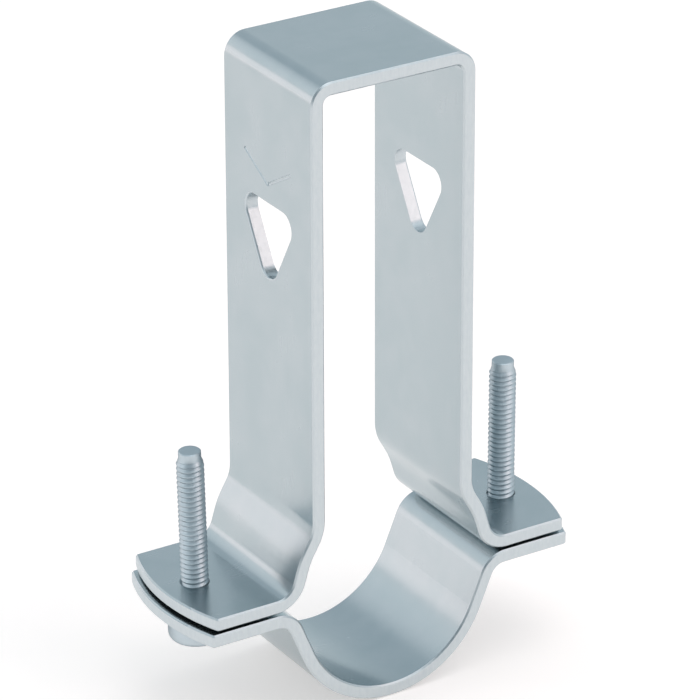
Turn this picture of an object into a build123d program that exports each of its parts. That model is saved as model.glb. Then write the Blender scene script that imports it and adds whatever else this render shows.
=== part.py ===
from build123d import *
import os
from math import cos, radians, sin, tan

# Pipe bracket. A folded steel hoop hangs on a rail, a folded saddle carries the pipe under
# the hoop's mouth, and two screws from below clamp the saddle to the hoop.
# Lengths are in millimetres and angles in degrees.
# The origin is on the pipe's axis, halfway along the bracket. X runs from flange to flange,
# Y runs along the pipe, and Z points up to the rail.

# Steel strip that the hoop and the saddle are cut and folded from
strip_width = 35.0
sheet = 3.0
edge_break = 0.35

# Pipe, and the saddle that carries it
pipe_radius = 21.2
seat_play = 0.2
wall_lean = 22.5
shoulder_radius = 3.5
saddle_flange_top = 3.0
saddle_overhang = 1.0

# Hoop
rail_width = 34.0
rail_seat_height = 119.2
crown_radius = 2.0
foot_flare = 5.75
knee_lean = 30.5
knee_radius = 7.7
arch_height = 8.0
arch_radius = 20.0
toe_lean = 16.4
toe_radius = 4.3
flange_gap = 0.7
flange_end = 8.0

# Three-cornered holes through the hoop's legs, each with a corner pointing down
wedge_hole_drop = 28.3
wedge_hole_side = 23.0
wedge_hole_depth = 20.4
wedge_hole_corner = 3.4
wedge_hole_stagger = 0.9
punch_roll = 0.5

# Clamp screws
screw_standoff = 10.05
screw_diameter = 6.0
screw_length = 39.2
left_screw_lean = 1.4
right_screw_lean = 0.3
point_diameter = 4.9
point_length = 1.7
point_cone = 1.4
point_edge = 0.2
head_diameter = 12.4
head_height = 5.4
head_crown_radius = 1.6
recess_width = 6.4
recess_wing = 1.4
recess_depth = 2.8
recess_taper = 8.0

# Holes for the screws: tapped in the hoop, plain in the saddle
thread_play = 0.05
tapped_hole_chamfer = 0.2
plain_hole_play = 0.5
left_head_play = 1.0
right_head_play = 0.02

# Saddle, worked out from the pipe. Its walls are tangents to the seat.
seat_radius = pipe_radius + seat_play
shoulder_x = (seat_radius + saddle_flange_top * sin(radians(wall_lean))) / cos(radians(wall_lean))
wall_meeting_z = -seat_radius / sin(radians(wall_lean))
saddle_flange_base = saddle_flange_top - sheet
shoulder_outside = shoulder_radius + sheet

# Hoop, worked out from the rail and from the saddle's flanges, over which its own flanges lie
hoop_flange_base = saddle_flange_top + flange_gap
hoop_flange_top = hoop_flange_base + sheet
leg_x = rail_width / 2 + sheet
crown_z = rail_seat_height + sheet
crown_outside = crown_radius + sheet
toe_x = leg_x + foot_flare
arch_x = toe_x - arch_height * tan(radians(toe_lean))
arch_z = hoop_flange_top + arch_height
knee_z = arch_z + (arch_x - leg_x) / tan(radians(knee_lean))
hoop_flat_x = toe_x + toe_radius * tan(radians(90 - toe_lean) / 2)

# Screws, which stand clear of the bends at the hoop's toes, and the flange ends beyond them
screw_x = hoop_flat_x + screw_standoff
hoop_tip_radius = screw_x + flange_end
saddle_tip_radius = hoop_tip_radius + saddle_overhang
thread_hole_radius = screw_diameter / 2 + thread_play
plain_hole_radius = screw_diameter / 2 + plain_hole_play

LEFT = -1
RIGHT = 1
screw_lean = {LEFT: left_screw_lean, RIGHT: right_screw_lean}
head_play = {LEFT: left_head_play, RIGHT: right_head_play}


def folded_strap(corners, radii, tip_radius):
    """Strip folded along its upper face, with both ends cut round about the Z axis."""
    face_line = FilletPolyline(*corners, radius=radii)
    section = make_face(offset(face_line, amount=sheet, side=Side.RIGHT))
    strap = extrude(Plane.XZ * section, amount=strip_width / 2, both=True)
    box = strap.bounding_box()
    ends = Pos(0, 0, box.center().Z) * Cylinder(tip_radius, 2 * box.size.Z)
    return break_cut_edges(strap & ends)


def break_cut_edges(strap):
    """Bevel that tumbling leaves along the strip's sides and round its ends."""
    sides = strap.faces().filter_by(Axis.Y)
    tips = ShapeList([strap.faces().sort_by(Axis.X)[0], strap.faces().sort_by(Axis.X)[-1]])
    edges = sides.edges() + tips.edges()
    return chamfer(edges, edge_break)


def screw_place(side):
    """Where a screw's axis leaves the hoop's flange, turned outwards by the screw's lean."""
    return Pos(side * screw_x, 0, hoop_flange_top) * Rot(0, side * screw_lean[side], 0)


def hoop_strap():
    """Folded hoop: top plate, two legs, feet flared in two bends, and flanges."""
    half = [
        (leg_x, crown_z),
        (leg_x, knee_z),
        (arch_x, arch_z),
        (toe_x, hoop_flange_top),
        (2 * hoop_tip_radius, hoop_flange_top),
    ]
    corners = [(-x, z) for x, z in reversed(half)] + half
    radii = [toe_radius, arch_radius, knee_radius, crown_outside]
    return folded_strap(corners, radii + radii[::-1], hoop_tip_radius)


def wedge_hole(side):
    """Punch for the hole in one leg. The left hole sits a little lower than the right."""
    top = rail_seat_height - wedge_hole_drop + side * wedge_hole_stagger
    half_side = wedge_hole_side / 2
    outline = FilletPolyline(
        (-half_side, top),
        (half_side, top),
        (0, top - wedge_hole_depth),
        radius=wedge_hole_corner,
        close=True,
    )
    leg_middle = Plane.YZ.offset(side * (leg_x - sheet / 2))
    return extrude(leg_middle * make_face(outline), amount=sheet, both=True)


def outer_rim(strap, side):
    """Edges of the wedge hole on the outer face of one leg, where the punch went in."""
    walls = strap.faces().filter_by(Axis.X)
    outer_face = min(walls, key=lambda face: abs(face.center().X - side * leg_x))
    return outer_face.inner_wires()[0].edges()


def tapped_hole(side):
    """Cutter for a tapped hole in the hoop's flange, with its mouth chamfered at 45 degrees."""
    hole = Cylinder(thread_hole_radius, 4 * sheet)
    deep = Pos(0, 0, -tapped_hole_chamfer)
    high = Pos(0, 0, tapped_hole_chamfer)
    mouth = loft([
        deep * Circle(thread_hole_radius),
        high * Circle(thread_hole_radius + 2 * tapped_hole_chamfer),
    ])
    return screw_place(side) * (hole + mouth)


def plain_hole(side):
    """Cutter for a clearance hole in the saddle's flange."""
    return Pos(side * screw_x, 0, saddle_flange_base) * Cylinder(plain_hole_radius, 4 * sheet)


def clamp_screw():
    """Pan-head screw with a dog point, standing on its head's bearing face at the origin."""
    outline = [
        (0, -head_height),
        (head_diameter / 2, -head_height),
        (head_diameter / 2, 0),
        (screw_diameter / 2, 0),
        (screw_diameter / 2, screw_length - point_length - point_cone),
        (point_diameter / 2, screw_length - point_length),
        (point_diameter / 2, screw_length - point_edge),
        (point_diameter / 2 - point_edge, screw_length),
        (0, screw_length),
    ]
    radii = [0, head_crown_radius] + [0] * (len(outline) - 2)
    section = make_face(FilletPolyline(*outline, radius=radii, close=True))
    body = revolve(Plane.XZ * section, axis=Axis.Z)
    cross = Rectangle(recess_width, recess_wing) + Rectangle(recess_wing, recess_width)
    recess = extrude(Plane.XY.offset(-head_height) * cross, amount=recess_depth, taper=recess_taper)
    return body - recess


def seated_screw(side):
    """Screw in its tapped hole. The left one is not drawn up as far as the right one."""
    lean = radians(screw_lean[side])
    rim_rise = head_diameter / 2 * sin(lean)
    reach = (hoop_flange_top - saddle_flange_base + head_play[side] + rim_rise) / cos(lean)
    return screw_place(side) * Pos(0, 0, -reach) * clamp_screw()


def make_hoop():
    hoop = hoop_strap()
    for side in (LEFT, RIGHT):
        hoop -= wedge_hole(side)
        hoop = fillet(outer_rim(hoop, side), punch_roll)
        hoop -= tapped_hole(side)
    return hoop


def make_saddle():
    """Folded saddle: flange, shoulder, wall, round seat, and the same again."""
    corners = [
        (-2 * saddle_tip_radius, saddle_flange_top),
        (-shoulder_x, saddle_flange_top),
        (0, wall_meeting_z),
        (shoulder_x, saddle_flange_top),
        (2 * saddle_tip_radius, saddle_flange_top),
    ]
    saddle = folded_strap(corners, [shoulder_outside, seat_radius, shoulder_outside], saddle_tip_radius)
    for side in (LEFT, RIGHT):
        saddle -= plain_hole(side)
    return saddle


nodes = {
    "hoop": make_hoop(),
    "saddle": make_saddle(),
    "clamp_screws": Compound([seated_screw(side) for side in (LEFT, RIGHT)]),
}

os.makedirs("parts", exist_ok=True)
for name, shape in nodes.items():
    export_step(shape, f"parts/{name}.step")
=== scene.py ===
# %% [markdown]
# A zinc-plated pipe bracket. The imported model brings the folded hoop, the folded saddle and two
# plain screws at their true size. This lesson gives the folded pieces their plated finish, makes
# the two clamp screws with a real thread, and stamps the faint arrowhead into one leg. Everything
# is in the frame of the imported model, in metres: the pipe's axis is the Y axis, and Z points up to
# the rail.

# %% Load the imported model
from math import ceil, cos, pi, radians, sin, tan, tau
import bpy
from mathutils import Matrix, Vector


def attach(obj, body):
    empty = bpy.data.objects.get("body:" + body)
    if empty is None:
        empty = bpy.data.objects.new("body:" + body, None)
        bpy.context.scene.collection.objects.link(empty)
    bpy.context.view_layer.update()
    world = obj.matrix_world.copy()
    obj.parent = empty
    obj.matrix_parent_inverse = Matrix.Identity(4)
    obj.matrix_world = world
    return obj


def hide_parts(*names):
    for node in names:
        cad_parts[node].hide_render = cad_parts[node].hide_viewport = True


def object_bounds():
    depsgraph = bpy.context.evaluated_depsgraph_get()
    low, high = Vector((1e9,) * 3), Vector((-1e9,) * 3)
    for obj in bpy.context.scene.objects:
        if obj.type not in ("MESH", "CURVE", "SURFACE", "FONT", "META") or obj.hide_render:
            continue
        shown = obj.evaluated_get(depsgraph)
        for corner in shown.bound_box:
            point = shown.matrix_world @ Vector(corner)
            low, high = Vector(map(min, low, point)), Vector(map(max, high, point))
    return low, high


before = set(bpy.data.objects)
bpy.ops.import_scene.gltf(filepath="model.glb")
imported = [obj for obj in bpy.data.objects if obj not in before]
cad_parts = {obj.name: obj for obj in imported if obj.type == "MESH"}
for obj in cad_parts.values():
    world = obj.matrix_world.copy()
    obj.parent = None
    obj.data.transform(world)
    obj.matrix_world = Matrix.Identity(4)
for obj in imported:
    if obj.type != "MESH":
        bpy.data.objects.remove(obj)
cad_box = [list(corner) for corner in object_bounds()]
print("packed box in metres:", cad_box)

# %% [markdown]
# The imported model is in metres, and the bracket's drawing is in millimetres, so one constant
# turns millimetres into metres. The operators act on all that is selected, and the import has
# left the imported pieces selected, so nothing starts before all of it is deselected.

# %% Units and a clean start
MM = 0.001


def only(piece):
    """Selects one piece and makes it active, so that operators act on it alone."""
    bpy.ops.object.select_all(action="DESELECT")
    piece.select_set(True)
    bpy.context.view_layer.objects.active = piece


bpy.ops.object.select_all(action="DESELECT")
lowest, highest = (Vector(corner) for corner in cad_box)
print("height in mm:", round((highest.z - lowest.z) / MM, 1))

# %% [markdown]
# The camera stands to the left and in front of the bracket, about 25 degrees above it. A long
# lens from a metre away keeps the legs nearly parallel. It could be placed by six bare numbers,
# but azimuth, elevation and distance about an aim point are easier to read and to correct. The
# lens is first given in pixels, as a measurement in a picture gives it, and then turned into
# millimetres of a 36 mm sensor.

# %% Camera
camera_azimuth = radians(-31.8)
camera_elevation = radians(25.42)
camera_roll = radians(-0.14)
camera_distance = 1022.2 * MM
camera_aim = Vector((0, 0, 51.35)) * MM
sensor_width = 36.0
picture_width = 700
camera_reach = 20.0
lens_in_pixels = 4800.5

turn = (
    Matrix.Rotation(camera_azimuth, 4, "Z")
    @ Matrix.Rotation(pi / 2 - camera_elevation, 4, "X")
    @ Matrix.Rotation(camera_roll, 4, "Z")
)
bpy.ops.object.camera_add()
camera = bpy.context.object
camera.name = "camera"
camera.data.sensor_width = sensor_width
camera.data.lens = lens_in_pixels / picture_width * sensor_width
camera.data.clip_end = camera_reach
camera.matrix_world = Matrix.Translation(camera_aim + turn.col[2].to_3d() * camera_distance) @ turn
bpy.context.scene.camera = camera
bpy.context.scene.view_settings.view_transform = "Standard"
print("lens in mm:", round(camera.data.lens, 1))

# %% [markdown]
# Materials are built from nodes in code, so that every number is on view. Three small helpers keep
# each material short. One turns the hex colour that a colour picker shows into the linear values
# that Blender works in, and one empties a node tree. The third adds a node, with its settings and
# inputs, in a single call. An input is a number, a socket, or a whole node, whose output is then
# linked. Each kind of node could have a helper of its own, but a reader would have to learn those
# names beside Blender's.

# %% Material helpers
soft_ends = {"interpolation_type": "SMOOTHSTEP"}
of_colours = {"data_type": "RGBA"}


def linear(hex_colour):
    """Linear RGBA of an sRGB hex colour such as #A0B0C0."""
    channels = [int(hex_colour[i:i + 2], 16) / 255 for i in (1, 3, 5)]
    return [c / 12.92 if c <= 0.04045 else ((c + 0.055) / 1.055) ** 2.4 for c in channels] + [1]


def empty_tree(owner):
    """Node tree of a material or a world, with nothing in it."""
    owner.use_nodes = True
    owner.node_tree.nodes.clear()
    return owner.node_tree


def add_node(tree, kind, settings=None, **inputs):
    """Adds a node. An input is named, or numbered as in _0. A node gives its first live output."""
    node = tree.nodes.new(kind)
    for name, value in (settings or {}).items():
        setattr(node, name, value)
    for name, value in inputs.items():
        key = int(name[1:]) if name[1:].isdigit() else name.replace("_", " ")
        if isinstance(value, bpy.types.Node):
            value = next(output for output in value.outputs if output.enabled)
        if isinstance(value, bpy.types.NodeSocket):
            tree.links.new(value, node.inputs[key])
        else:
            node.inputs[key].default_value = value
    return node


print("a picked mid grey, #808080, in linear light:", round(linear("#808080")[0], 3))

# %% [markdown]
# A studio for metal is mostly something for the metal to mirror. The bracket stands on a wide
# sheet of white paper, and the legs and the cut edges mirror that paper. A white diffuse floor
# under strong lamps would do, but then the lamps burn out the metal. So most of the floor's
# brightness is light that falls on it, which the bracket's shadow takes away, and the rest is a
# faint glow that only the camera and mirror-like rays see.

# %% Floor
floor_size = 6.0
floor_colour = "#F5EBE6"
floor_glow = 0.34


def floor_material():
    """Matt white paper sweep with a faint glow for camera, glossy and transmission rays."""
    material = bpy.data.materials.new("white_paper_sweep")
    tree = empty_tree(material)
    rays = add_node(tree, "ShaderNodeLightPath").outputs
    seen = add_node(tree, "ShaderNodeMath", {"operation": "MAXIMUM"},
                    _0=rays["Is Camera Ray"], _1=rays["Is Glossy Ray"])
    seen = add_node(tree, "ShaderNodeMath", {"operation": "MAXIMUM"},
                    _0=seen, _1=rays["Is Transmission Ray"])
    glow = add_node(tree, "ShaderNodeMath", {"operation": "MULTIPLY"}, _0=seen, _1=floor_glow)
    paper = add_node(tree, "ShaderNodeBsdfDiffuse", Color=linear(floor_colour))
    light = add_node(tree, "ShaderNodeEmission", Strength=glow)
    both = add_node(tree, "ShaderNodeAddShader", _0=paper, _1=light)
    add_node(tree, "ShaderNodeOutputMaterial", Surface=both)
    return material


bpy.ops.mesh.primitive_plane_add(size=floor_size, location=(0, 0, lowest.z))
floor = bpy.context.object
floor.name = "floor"
floor.data.materials.append(floor_material())
print("floor in metres:", floor_size, "square, at height", round(floor.location.z, 4))

# %% [markdown]
# The room itself is the world's light. Upward faces mirror what is high in the room, and the
# screws mirror all of it, from side to side. So the room is paler at eye level than overhead, and
# darker on the side where the photographer stands, which draws the dark line down each screw.

# %% Room
eye_level_tone = "#D8E2E7"
overhead_tone = "#C1CED6"
camera_side_tone = "#8A969D"
# Heights between which the tone changes, as the sine of the elevation
eye_level_top = 0.2
overhead_bottom = 0.7
# The dark side's middle, and how directly a ray faces it where it starts and where it is darkest
camera_side_elevation = radians(20)
camera_side_start = 0.7
camera_side_core = 0.97
camera_side = Vector((sin(camera_azimuth), -cos(camera_azimuth), tan(camera_side_elevation)))
camera_side.normalize()


def room_light():
    """A cool room that is paler at eye level, and darker overhead and behind the camera."""
    world = bpy.data.worlds.new("room")
    tree = empty_tree(world)
    direction = add_node(tree, "ShaderNodeTexCoord").outputs["Generated"]
    height = add_node(tree, "ShaderNodeSeparateXYZ", Vector=direction).outputs["Z"]
    overhead = add_node(tree, "ShaderNodeMapRange", soft_ends, Value=height,
                        From_Min=eye_level_top, From_Max=overhead_bottom)
    walls = add_node(tree, "ShaderNodeMix", of_colours, _0=overhead,
                     _6=linear(eye_level_tone), _7=linear(overhead_tone))
    facing = add_node(tree, "ShaderNodeVectorMath", {"operation": "DOT_PRODUCT"},
                      _0=direction, _1=camera_side)
    shaded = add_node(tree, "ShaderNodeMapRange", soft_ends, Value=facing,
                      From_Min=camera_side_start, From_Max=camera_side_core)
    colour = add_node(tree, "ShaderNodeMix", of_colours, _0=shaded,
                      _6=walls, _7=linear(camera_side_tone))
    light = add_node(tree, "ShaderNodeBackground", Color=colour, Strength=1.0)
    add_node(tree, "ShaderNodeOutputWorld", Surface=light)
    return world


bpy.context.scene.world = room_light()
print("room light:", bpy.context.scene.world.name)

# %% [markdown]
# The lamps are soft boxes that face the bracket, each placed where one kind of surface mirrors
# it towards the camera. The low one, behind and to the left, draws the bands on the flared foot
# and on the saddle's wall. The rim lamp above it lights the crown's bend. The side lamp lights
# the left of each screw, and the key lamp the right of each screw and the walls of the
# three-cornered holes. The top one lights the floor. All but the top one are a little warm, since
# the room's own light is cool. A lamp's power follows from the brightness that its face should
# show: power is radiance times pi times its area.

# %% Lamps
lamp_distance = 1.6


def softbox(name, azimuth, elevation, width, height, radiance, tint):
    """Soft lamp that faces the bracket from an azimuth and an elevation in degrees."""
    back = Vector((sin(radians(azimuth)), -cos(radians(azimuth)), 0)) * cos(radians(elevation))
    back.z = sin(radians(elevation))
    bpy.ops.object.light_add(type="AREA", location=back * lamp_distance)
    lamp = bpy.context.object
    lamp.name = name
    lamp.rotation_euler = back.to_track_quat("Z", "Y").to_euler()
    lamp.data.shape = "RECTANGLE"
    lamp.data.size = width
    lamp.data.size_y = height
    lamp.data.energy = radiance * pi * width * height
    lamp.data.color = linear(tint)[:3]
    lamp.visible_camera = False
    return lamp


softbox("low_softbox", azimuth=-147, elevation=8, width=1.3, height=0.56,
        radiance=0.73, tint="#FFE2DB")
softbox("rim_softbox", azimuth=-152, elevation=31, width=1.1, height=0.60,
        radiance=0.34, tint="#FFF4F0")
softbox("side_softbox", azimuth=-104, elevation=22, width=0.7, height=0.9,
        radiance=0.70, tint="#FFF4F0")
softbox("key_softbox", azimuth=34, elevation=32, width=1.0, height=0.9,
        radiance=1.42, tint="#FFE0D8")
softbox("top_softbox", azimuth=20, elevation=80, width=1.2, height=1.2,
        radiance=1.30, tint="#FFFFFF")

# %% [markdown]
# The bracket is bent from cold-rolled steel strip and plated with bright zinc. The strip's sides,
# its round ends and the walls of the punched holes were sheared and then tumbled, so they look
# different from the rolled faces. They could be told apart by a second material slot, but the
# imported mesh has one, so a mask finds them. The strip is folded about Y, so only what is sheared
# faces along Y at all, and the round ends lie beyond a radius from the middle.

# %% Mask for the sheared edges
cut_facing = 0.15
cut_end_radius = 46.5 * MM
end_facing = 0.6


def cut_mask(tree, place):
    """1 on the strip's cut sides and round ends, and 0 on its rolled faces."""
    facing = add_node(tree, "ShaderNodeNewGeometry").outputs["Normal"]
    facing = add_node(tree, "ShaderNodeSeparateXYZ", Vector=facing).outputs
    sideways = add_node(tree, "ShaderNodeMath", {"operation": "ABSOLUTE"}, _0=facing["Y"])
    side = add_node(tree, "ShaderNodeMath", {"operation": "GREATER_THAN"},
                    _0=sideways, _1=cut_facing)
    flat = add_node(tree, "ShaderNodeVectorMath", {"operation": "MULTIPLY"},
                    _0=place, _1=(1, 1, 0))
    reach = add_node(tree, "ShaderNodeVectorMath", {"operation": "LENGTH"}, _0=flat)
    beyond = add_node(tree, "ShaderNodeMath", {"operation": "GREATER_THAN"},
                      _0=reach, _1=cut_end_radius)
    rising = add_node(tree, "ShaderNodeMath", {"operation": "ABSOLUTE"}, _0=facing["Z"])
    upright = add_node(tree, "ShaderNodeMath", {"operation": "LESS_THAN"},
                       _0=rising, _1=end_facing)
    end = add_node(tree, "ShaderNodeMath", {"operation": "MULTIPLY"}, _0=beyond, _1=upright)
    return add_node(tree, "ShaderNodeMath", {"operation": "MAXIMUM"}, _0=side, _1=end)


print("sheared ends: from", round(cut_end_radius / MM, 1), "to", round(highest.x / MM, 1), "mm")

# %% [markdown]
# Zinc follows the steel below it, so it shows the fine lines that the rolls left along the strip,
# and those that the shears left across its edges. A wave texture would draw them in even rows,
# and real ones are uneven, so they are noise that is drawn out along one axis. The plating bath
# leaves soft patches of its own, a bloom, and those are noise of a larger size.

# %% Lines and bloom
# Real rolling lines lie about 0.05 mm apart, too fine to show, so they are drawn wider apart
rolling_line_spacing = 0.5 * MM
along_rolling = (0.03, 1, 0.03)
# Real shear lines lie about 0.2 mm apart, and are drawn wider apart as well
shear_line_spacing = 0.7 * MM
along_shearing = (1, 1, 0.25)
bloom_spacing = 11 * MM
# Noise seldom leaves this range, so it is stretched from here
from_noise = {"From_Min": 0.3, "From_Max": 0.7}


def streaks(tree, place, spacing, stretch):
    """Noise drawn out into lines. stretch scales X, Y and Z: a small share makes long lines."""
    drawn = add_node(tree, "ShaderNodeVectorMath", {"operation": "MULTIPLY"},
                     _0=place, _1=stretch)
    return add_node(tree, "ShaderNodeTexNoise", Vector=drawn,
                    Scale=1 / spacing, Detail=2.0, Roughness=0.6)


def zinc_bloom(tree, place, spacing):
    """The soft, uneven patches that a plating bath leaves."""
    return add_node(tree, "ShaderNodeTexNoise", Vector=place,
                    Scale=1 / spacing, Detail=4.0, Roughness=0.6)


spacings = (rolling_line_spacing, shear_line_spacing, bloom_spacing)
print("spacing of the lines and the bloom in mm:", [round(s / MM, 1) for s in spacings])

# %% [markdown]
# Bright zinc is a cool grey metal that mirrors its surroundings softly. One colour and one
# roughness would do, but then a wide flat face looks painted, so both drift with the bloom and
# with the lines. The sheared and tumbled edges are a little paler and rougher.

# %% Strip colour and roughness
face_colours = ("#B3BFC3", "#BAC4C8")
edge_colours = ("#C5CED2", "#CCD4D7")
face_roughness = {"To_Min": 0.20, "To_Max": 0.25}
line_roughness = {"To_Min": 0.0, "To_Max": 0.03}
edge_roughness = {"To_Min": 0.34, "To_Max": 0.42}


def strip_colour(tree, cut, bloom, sheared):
    """Cool zinc that drifts with its bloom on the faces, and with the shear lines on the cuts."""
    drift = add_node(tree, "ShaderNodeMapRange", soft_ends, Value=bloom, **from_noise)
    lined = add_node(tree, "ShaderNodeMapRange", soft_ends, Value=sheared, **from_noise)
    face = add_node(tree, "ShaderNodeMix", of_colours, _0=drift,
                    _6=linear(face_colours[0]), _7=linear(face_colours[1]))
    edge = add_node(tree, "ShaderNodeMix", of_colours, _0=lined,
                    _6=linear(edge_colours[0]), _7=linear(edge_colours[1]))
    return add_node(tree, "ShaderNodeMix", of_colours, _0=cut, _6=face, _7=edge)


def strip_roughness(tree, cut, bloom, rolled, sheared):
    """A soft mirror on the faces, a little rougher along the rolling lines and on the cuts."""
    base = add_node(tree, "ShaderNodeMapRange", soft_ends, Value=bloom,
                    **from_noise, **face_roughness)
    lines = add_node(tree, "ShaderNodeMapRange", soft_ends, Value=rolled,
                     **from_noise, **line_roughness)
    face = add_node(tree, "ShaderNodeMath", {"operation": "ADD"}, _0=base, _1=lines)
    edge = add_node(tree, "ShaderNodeMapRange", soft_ends, Value=sheared,
                    **from_noise, **edge_roughness)
    return add_node(tree, "ShaderNodeMix", _0=cut, _2=face, _3=edge)


print("face and edge in linear light:",
      [round(linear(colour)[0], 2) for colour in (face_colours[0], edge_colours[0])])

# %% [markdown]
# The finish of the hoop and the saddle: a metal shader with that colour and roughness. The lines
# are a very shallow bump as well, so that they catch the light. They could be cut into the mesh,
# but lines this fine would fill it with faces and change no outline.

# %% Zinc-plated strip
line_height = 0.05 * MM
line_strength = 0.04


def zinc_strip():
    """Bright zinc on cold-rolled strip: a soft cool mirror, with paler, rougher cut edges."""
    material = bpy.data.materials.new("bright_zinc_on_rolled_strip")
    tree = empty_tree(material)
    place = add_node(tree, "ShaderNodeTexCoord").outputs["Object"]
    cut = cut_mask(tree, place)
    bloom = zinc_bloom(tree, place, bloom_spacing)
    rolled = streaks(tree, place, rolling_line_spacing, along_rolling)
    sheared = streaks(tree, place, shear_line_spacing, along_shearing)
    lines = add_node(tree, "ShaderNodeMix", _0=cut, _2=rolled, _3=sheared)
    fine = add_node(tree, "ShaderNodeBump", Strength=line_strength, Distance=line_height,
                    Height=lines)
    shader = add_node(tree, "ShaderNodeBsdfPrincipled", Metallic=1.0, Normal=fine,
                      Base_Color=strip_colour(tree, cut, bloom, sheared),
                      Roughness=strip_roughness(tree, cut, bloom, rolled, sheared))
    add_node(tree, "ShaderNodeOutputMaterial", Surface=shader)
    return material


strip_finish = zinc_strip()
for name in ("hoop", "saddle"):
    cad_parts[name].data.materials[0] = strip_finish
print("strip finish:", strip_finish.name, "with", len(strip_finish.node_tree.nodes), "nodes")

# %% [markdown]
# Bright zinc on a cold-headed screw. Its thread is rolled between hardened dies, and the screws
# are plated loose in a barrel, where they rub against each other. So the zinc is as bright as on
# the strip but mirrors less sharply, and its bloom is finer. A smooth metal also turns into a
# bright mirror at a glancing angle. A metal's specular tint is its tint at that angle, and a grey
# one here paints shade on the rims of the shank, in place of the darker surroundings that those
# rims mirror. The thread itself needs no mask: the light on its real crests and roots draws it.

# %% Zinc-plated screw
screw_colours = ("#BECAD0", "#C8D4DA")
screw_roughness = {"To_Min": 0.42, "To_Max": 0.50}
# Grey specular tint: painted shade on the shank's rims, which stands in for darker surroundings
painted_rim_shade_tint = "#9C9C9C"
screw_bloom_spacing = 5 * MM


def zinc_screw():
    """Bright zinc on a cold-headed screw with a rolled thread."""
    material = bpy.data.materials.new("bright_zinc_on_rolled_thread")
    tree = empty_tree(material)
    place = add_node(tree, "ShaderNodeTexCoord").outputs["Object"]
    bloom = zinc_bloom(tree, place, screw_bloom_spacing)
    drift = add_node(tree, "ShaderNodeMapRange", soft_ends, Value=bloom, **from_noise)
    colour = add_node(tree, "ShaderNodeMix", of_colours, _0=drift,
                      _6=linear(screw_colours[0]), _7=linear(screw_colours[1]))
    roughness = add_node(tree, "ShaderNodeMapRange", soft_ends, Value=bloom,
                         **from_noise, **screw_roughness)
    # The grey specular tint paints shade on the shank's rims
    shader = add_node(tree, "ShaderNodeBsdfPrincipled", Base_Color=colour, Metallic=1.0,
                      Roughness=roughness, Specular_Tint=linear(painted_rim_shade_tint))
    add_node(tree, "ShaderNodeOutputMaterial", Surface=shader)
    return material


screw_finish = zinc_screw()
print("screw finish:", screw_finish.name, "with", len(screw_finish.node_tree.nodes), "nodes")

# %% [markdown]
# The clamp screw: a pan head with a cross recess, a threaded shank and a plain point. On the real
# one the shank is squeezed between two grooved dies, which roll a single helical ridge out of it.
# The ridge could be a bump, but it shows on the shank's outline, so it is real. The screw is drawn
# in millimetres, where the operators' limits are round numbers, and scaled to metres at the end.
#
# A sharp thread of this pitch would be about 0.7 mm deep. This one is drawn 0.45 mm deep, since
# zinc fills its roots and rounds its crests.

# %% Clamp screw sizes
screw_radius = 3.0
screw_length = 39.2
thread_pitch = 1.15
thread_depth = 0.45
point_radius = 2.45
point_length = 1.7
point_cone = 1.4
point_edge = 0.2
head_radius = 6.2
head_height = 5.4
head_crown_radius = 1.6
head_edge = 0.15
recess_width = 6.4
recess_wing = 1.4
recess_depth = 2.8
recess_taper = radians(8)
shoulder = screw_length - point_length

# One pitch of the thread: share of a pitch along the screw, and share of its depth from the crest
thread_profile = [
    (0.0, 0.10), (0.06, 0.0), (0.14, 0.0), (0.20, 0.10), (0.47, 0.86), (0.60, 1.0), (0.73, 0.86),
]
print("turns of thread:", round((shoulder - point_cone) / thread_pitch, 1))

# %% [markdown]
# Round pieces are turned on a lathe, and the Spin operator does the same: an outline is drawn as
# a chain of extruded edges on one side of the axis, and spun once round it. A cylinder bevelled
# ring by ring would give such pieces too, but with an outline each step is a point that can be
# read. The chain starts from a plane merged to one vertex, which is the plainest start there is,
# and points that should be one are welded.

# %% Drawing and turning
weld_width = 1e-4


def start_vertex(name, place):
    """New piece in edit mode with a single selected vertex at place."""
    bpy.ops.object.select_all(action="DESELECT")
    bpy.ops.mesh.primitive_plane_add(size=1)
    piece = bpy.context.object
    piece.name = name
    bpy.ops.object.mode_set(mode="EDIT")
    bpy.ops.mesh.select_all(action="SELECT")
    bpy.ops.mesh.merge(type="CENTER")
    bpy.ops.transform.translate(value=place)
    return piece


def draw_line(points):
    """Extrudes the selected vertex through the points, given as radius and height."""
    here = points[0]
    for there in points[1:]:
        step = (there[0] - here[0], 0, there[1] - here[1])
        bpy.ops.mesh.extrude_region_move(TRANSFORM_OT_translate={"value": step})
        here = there


def spun(name, points, steps):
    """Closed solid of revolution about Z, from a profile that starts and ends on the axis."""
    piece = start_vertex(name, (points[0][0], 0, points[0][1]))
    draw_line(points)
    bpy.ops.mesh.select_all(action="SELECT")
    bpy.ops.mesh.spin(steps=steps, angle=tau, center=(0, 0, 0), axis=(0, 0, 1))
    bpy.ops.mesh.select_all(action="SELECT")
    bpy.ops.mesh.remove_doubles(threshold=weld_width)
    bpy.ops.mesh.normals_make_consistent(inside=False)
    bpy.ops.object.mode_set(mode="OBJECT")
    return piece


print("weld in mm:", weld_width)

# %% [markdown]
# Solids are joined and cut by booleans. The fast solver would do for plain shapes, but the thread's
# small faces need the exact one. Its cut can leave hair-thin faces, so along it points are merged
# a little more generously than in a weld. What is drawn in millimetres is scaled to metres last.

# %% Joining, cutting and scaling
seam_width = 0.003


def clean_seams(piece):
    """Merges the hair-thin faces and doubled points that a boolean can leave along its cut."""
    only(piece)
    bpy.ops.object.mode_set(mode="EDIT")
    bpy.ops.mesh.select_all(action="SELECT")
    bpy.ops.mesh.remove_doubles(threshold=seam_width)
    bpy.ops.mesh.dissolve_degenerate(threshold=seam_width)
    bpy.ops.object.mode_set(mode="OBJECT")


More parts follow.
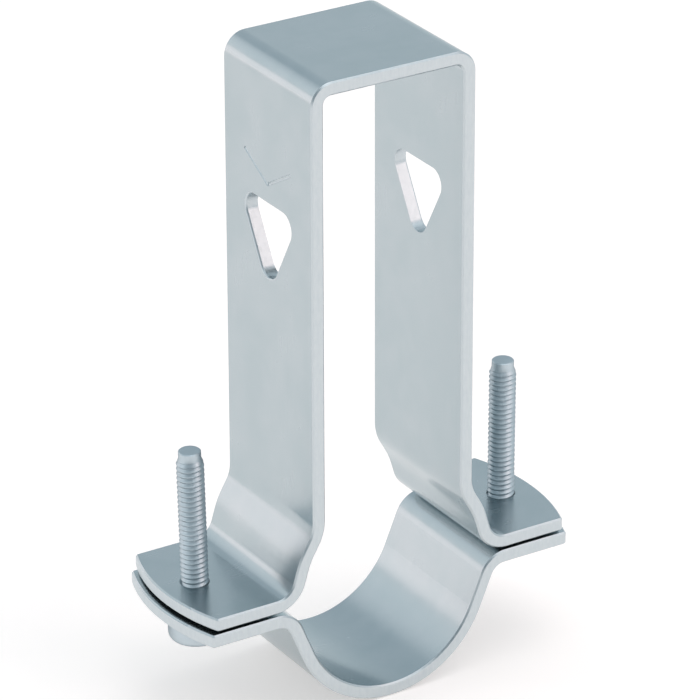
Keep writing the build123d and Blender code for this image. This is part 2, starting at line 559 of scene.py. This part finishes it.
def combine(piece, other, operation):
    """Applies a boolean with another solid to the piece, and deletes the other solid."""
    modifier = piece.modifiers.new(operation.lower(), "BOOLEAN")
    modifier.operation = operation
    modifier.solver = "EXACT"
    modifier.object = other
    only(piece)
    bpy.ops.object.modifier_apply(modifier=modifier.name)
    bpy.data.objects.remove(other)
    clean_seams(piece)


def scale_mesh(piece, factor):
    """Scales a piece's mesh about the origin."""
    only(piece)
    piece.scale = (factor, factor, factor)
    bpy.ops.object.transform_apply(location=True, rotation=True, scale=True)


print("seam in mm:", seam_width)

# %% [markdown]
# The threaded rod. Grooves cut round a cylinder would be simpler, but they don't climb as a thread
# does. So one pitch of the outline is drawn at the shank's radius, and the Screw modifier sweeps
# it up a helix turn by turn, so that crest, flanks and root are one surface whose turns meet. The
# two open ends are then closed: each rim is extruded in place and collapsed to a point.

# %% Threaded rod
sweep_steps = 48


def close_ends():
    """Closes the open rims of the mesh in edit mode, each by collapsing it to a point."""
    bpy.ops.mesh.select_all(action="DESELECT")
    bpy.ops.mesh.select_non_manifold(extend=False, use_wire=False, use_boundary=True,
                                     use_multi_face=False, use_non_contiguous=False,
                                     use_verts=False)
    bpy.ops.mesh.extrude_region_move(TRANSFORM_OT_translate={"value": (0, 0, 0)})
    bpy.ops.mesh.merge(type="COLLAPSE")


def threaded_rod(bottom, top):
    """Helical ridge from bottom to top, closed at both ends."""
    line = [
        (screw_radius - depth * thread_depth, bottom + share * thread_pitch)
        for share, depth in thread_profile
    ]
    line.append((line[0][0], line[0][1] + thread_pitch))
    piece = start_vertex("threaded_rod", (line[0][0], 0, line[0][1]))
    draw_line(line)
    bpy.ops.object.mode_set(mode="OBJECT")
    sweep = piece.modifiers.new("sweep", "SCREW")
    sweep.axis = "Z"
    sweep.angle = tau
    sweep.screw_offset = thread_pitch
    sweep.iterations = ceil((top - bottom) / thread_pitch)
    sweep.steps = sweep_steps
    sweep.render_steps = sweep_steps
    sweep.use_merge_vertices = True
    sweep.merge_threshold = weld_width
    only(piece)
    bpy.ops.object.modifier_apply(modifier=sweep.name)
    bpy.ops.object.mode_set(mode="EDIT")
    bpy.ops.mesh.select_all(action="SELECT")
    bpy.ops.mesh.remove_doubles(threshold=weld_width)
    close_ends()
    bpy.ops.mesh.select_all(action="SELECT")
    bpy.ops.mesh.normals_make_consistent(inside=False)
    bpy.ops.object.mode_set(mode="OBJECT")
    return piece


print("faces to a turn of thread:", sweep_steps * len(thread_profile))

# %% [markdown]
# The cross recess. A real head gets it from a tapered cross-shaped punch. It could be cut by one
# cross-shaped solid, but two tapered bars that cross each other are easier to draw and cut the
# same shape. Each starts as far below the head as it reaches into it, and tapers over that whole
# height. One reaches a hair deeper than the other, because faces that lie exactly on each other
# are what a boolean does worst.

# %% Recess bars
top_facing = 0.5


def recess_bar(along_x, depth):
    """Tapered bar that reaches depth into the head's underside, narrower at its bottom."""
    bpy.ops.object.select_all(action="DESELECT")
    bpy.ops.mesh.primitive_cube_add(size=1)
    bar = bpy.context.object
    bpy.ops.object.mode_set(mode="EDIT")
    bpy.ops.mesh.select_all(action="SELECT")
    size = (recess_width, recess_wing) if along_x else (recess_wing, recess_width)
    bpy.ops.transform.resize(value=(*size, 2 * depth), center_override=(0, 0, 0))
    bpy.ops.mesh.select_mode(type="FACE")
    bpy.ops.mesh.select_all(action="DESELECT")
    bpy.ops.object.mode_set(mode="OBJECT")
    for face in bar.data.polygons:
        face.select = face.normal.z > top_facing
    bpy.ops.object.mode_set(mode="EDIT")
    narrowing = 2 * depth * tan(recess_taper)
    shares = [(side - narrowing) / side for side in size]
    bpy.ops.transform.resize(value=(*shares, 1), center_override=(0, 0, 0))
    bpy.ops.mesh.select_all(action="SELECT")
    bpy.ops.transform.translate(value=(0, 0, -head_height))
    bpy.ops.mesh.select_mode(type="VERT")
    bpy.ops.object.mode_set(mode="OBJECT")
    return bar


mouth = [round(side - recess_depth * tan(recess_taper), 1) for side in (recess_width, recess_wing)]
print("recess mouth in mm:", mouth[0], "by", mouth[1])

# %% [markdown]
# The shank and the plain point. A rolled thread runs out on the short cone in front of the point.
# The thread's last turn could be thinned by hand, but it is simpler to let a blank with that cone
# trim the threaded rod. The blank's ends lie inside the head and inside the point, so that the
# solids cross each other cleanly where they join.

# %% Shank and point
blank_clearance = 0.1
blank_foot = 0.83
cone_overlap = 0.4
turning_steps = 64


def screw_blank():
    """Shank with a cone at its end, a little wider than the thread that it trims."""
    wide = screw_radius + blank_clearance
    slope = (wide - point_radius) / (point_cone + blank_clearance)
    top = shoulder + cone_overlap
    return spun("blank", [
        (0, -blank_foot), (wide, -blank_foot), (wide, shoulder - point_cone - blank_clearance),
        (point_radius - cone_overlap * slope, top), (0, top),
    ], sweep_steps)


def screw_point():
    """Plain point beyond the thread, with a small bevel round its tip."""
    return spun("point", [
        (0, shoulder - point_cone), (point_radius, shoulder - point_cone),
        (point_radius, screw_length - point_edge), (point_radius - point_edge, screw_length),
        (0, screw_length),
    ], turning_steps)


print("point in mm:", point_length, "long and", 2 * point_radius, "across")

# %% [markdown]
# The pan head. A real one is struck from the end of the wire, which leaves a flat top with a well
# rounded rim. A bevelled cylinder would look alike, but here the rim is an arc of a known radius,
# so it is worked out as points of the outline. The head hangs upside down, so its top is below.

# %% Pan head
crown_steps = 7
recess_step = 0.02


def screw_head():
    """Pan head below the bearing face, with the cross recess in its underside."""
    turns = [pi / 2 * i / crown_steps for i in range(crown_steps + 1)]
    crown = [
        (head_radius - head_crown_radius * (1 - sin(turn)),
         -head_height + head_crown_radius * (1 - cos(turn)))
        for turn in turns
    ]
    head = spun("head", [(0, -head_height), *crown, (head_radius, -head_edge),
                         (head_radius - head_edge, 0), (0, 0)], turning_steps)
    combine(head, recess_bar(True, recess_depth), "DIFFERENCE")
    combine(head, recess_bar(False, recess_depth + recess_step), "DIFFERENCE")
    return head


print("head in mm:", head_height, "high and", 2 * head_radius, "across")

# %% [markdown]
# The whole screw. The rod is drawn some turns too long, trimmed by the blank, and joined to the
# point and the head. The solids could be left inside each other, but a real screw has no faces
# hidden within, and one closed mesh has none either. Its sharp edges stay sharp, and the rest is
# shaded smooth.

# %% Whole screw
spare_turns = 3
screw_crease = radians(38)


def clamp_screw():
    """Screw in metres, standing on its head's bearing face at the origin."""
    screw = threaded_rod(-spare_turns * thread_pitch, screw_length + thread_pitch)
    combine(screw, screw_blank(), "INTERSECT")
    combine(screw, screw_point(), "UNION")
    combine(screw, screw_head(), "UNION")
    scale_mesh(screw, MM)
    bpy.ops.object.shade_smooth_by_angle(angle=screw_crease)
    return screw


first_screw = clamp_screw()
print("screw faces:", len(first_screw.data.polygons))
print("screw size in mm:", [round(d / MM, 2) for d in first_screw.dimensions])

# %% [markdown]
# Two like screws: the second is a copy with its own mesh. Each goes where the drawing has it. It
# stands in the tapped hole of its flange, leans outwards a little, and hangs by its thread so far
# that its head meets the saddle's flange, or stops a millimetre short of it on the left.

# %% Seated screws
screw_x = 39.02
hoop_flange_top = 6.7
saddle_flange_base = 0.0
seats = {
    "left_clamp_screw": {"side": -1, "lean": radians(1.4), "play": 1.0},
    "right_clamp_screw": {"side": 1, "lean": radians(0.3), "play": 0.02},
}


def seat_screw(screw, side, lean, play):
    """Moves the screw's mesh to its place in the bracket."""
    reach = (hoop_flange_top - saddle_flange_base + play + head_radius * sin(lean)) / cos(lean)
    screw.matrix_world = (
        Matrix.Translation(Vector((side * screw_x, 0, hoop_flange_top)) * MM)
        @ Matrix.Rotation(side * lean, 4, "Y")
        @ Matrix.Translation(Vector((0, 0, -reach * MM)))
    )
    only(screw)
    bpy.ops.object.transform_apply(location=True, rotation=True, scale=True)


only(first_screw)
bpy.ops.object.duplicate(linked=False)
second_screw = bpy.context.object
for screw, (name, seat) in zip((first_screw, second_screw), seats.items()):
    screw.name = name
    screw.data.name = name
    seat_screw(screw, **seat)
    screw.data.materials.clear()
    screw.data.materials.append(screw_finish)
    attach(screw, "root")
    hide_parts("clamp_screws")
    print(name, "in mm:", [round(side / MM, 1) for side in screw.dimensions])

# %% [markdown]
# The left leg has an arrowhead stamped into it that points down. A real stamp presses in a shallow
# groove with a round bottom. A bump would show it from in front but not from the side, so each
# stroke is cut by a round bar that dips into the leg's face.

# %% Arrowhead strokes
left_leg_face = -20.0
arrowhead_half_width = 9.2
arrowhead_height = 5.2
arrowhead_point_z = 94.4
stroke_radius = 0.45
stroke_depth = 0.25
stroke_sides = 24
stroke_overlap = 0.2


def arrowhead_stroke(side):
    """Round bar that dips into the leg's face, from the arrowhead's point up to one side."""
    stroke = Vector((0, side * arrowhead_half_width, arrowhead_height))
    bpy.ops.object.select_all(action="DESELECT")
    bpy.ops.mesh.primitive_cylinder_add(vertices=stroke_sides, radius=stroke_radius,
                                        depth=stroke.length + stroke_overlap)
    bar = bpy.context.object
    bar.rotation_euler = stroke.to_track_quat("Z", "Y").to_euler()
    point = Vector((left_leg_face - stroke_radius + stroke_depth, 0, arrowhead_point_z))
    bar.location = point + stroke.normalized() * (stroke.length - stroke_overlap) / 2
    bpy.ops.object.transform_apply(location=True, rotation=True, scale=True)
    return bar


groove_width = 2 * (stroke_radius ** 2 - (stroke_radius - stroke_depth) ** 2) ** 0.5
print("groove in mm:", round(groove_width, 2), "wide and", stroke_depth, "deep")

# %% [markdown]
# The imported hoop's own mesh has to stay as it is, so a new piece takes a copy of that mesh, is
# stamped and stands for the hoop. Duplicating the object itself would be shorter, but would also
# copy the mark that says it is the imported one. The copied triangles are loose, so they are merged
# first, and the piece is cut in millimetres, as the screw is.
#
# After the merge the wide flat faces would be shaded as if they swelled towards the bends beside
# them. The Weighted Normal modifier lets the larger faces win, which keeps the flat ones flat.

# %% Stamped hoop
strip_crease = radians(30)


def stamped_hoop():
    """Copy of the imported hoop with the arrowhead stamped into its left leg."""
    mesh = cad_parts["hoop"].data.copy()
    mesh.name = "stamped_hoop"
    piece = bpy.data.objects.new("stamped_hoop", mesh)
    bpy.context.collection.objects.link(piece)
    scale_mesh(piece, 1 / MM)
    bpy.ops.mesh.customdata_custom_splitnormals_clear()
    bpy.ops.object.mode_set(mode="EDIT")
    bpy.ops.mesh.select_all(action="SELECT")
    bpy.ops.mesh.remove_doubles(threshold=weld_width)
    bpy.ops.object.mode_set(mode="OBJECT")
    for side in (-1, 1):
        combine(piece, arrowhead_stroke(side), "DIFFERENCE")
    scale_mesh(piece, MM)
    bpy.ops.object.shade_smooth_by_angle(angle=strip_crease)
    weighing = piece.modifiers.new("weighing", "WEIGHTED_NORMAL")
    weighing.keep_sharp = True
    bpy.ops.object.modifier_apply(modifier=weighing.name)
    return piece


hoop = stamped_hoop()
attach(hoop, "root")
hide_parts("hoop")
print("stamped hoop faces:", len(hoop.data.polygons))
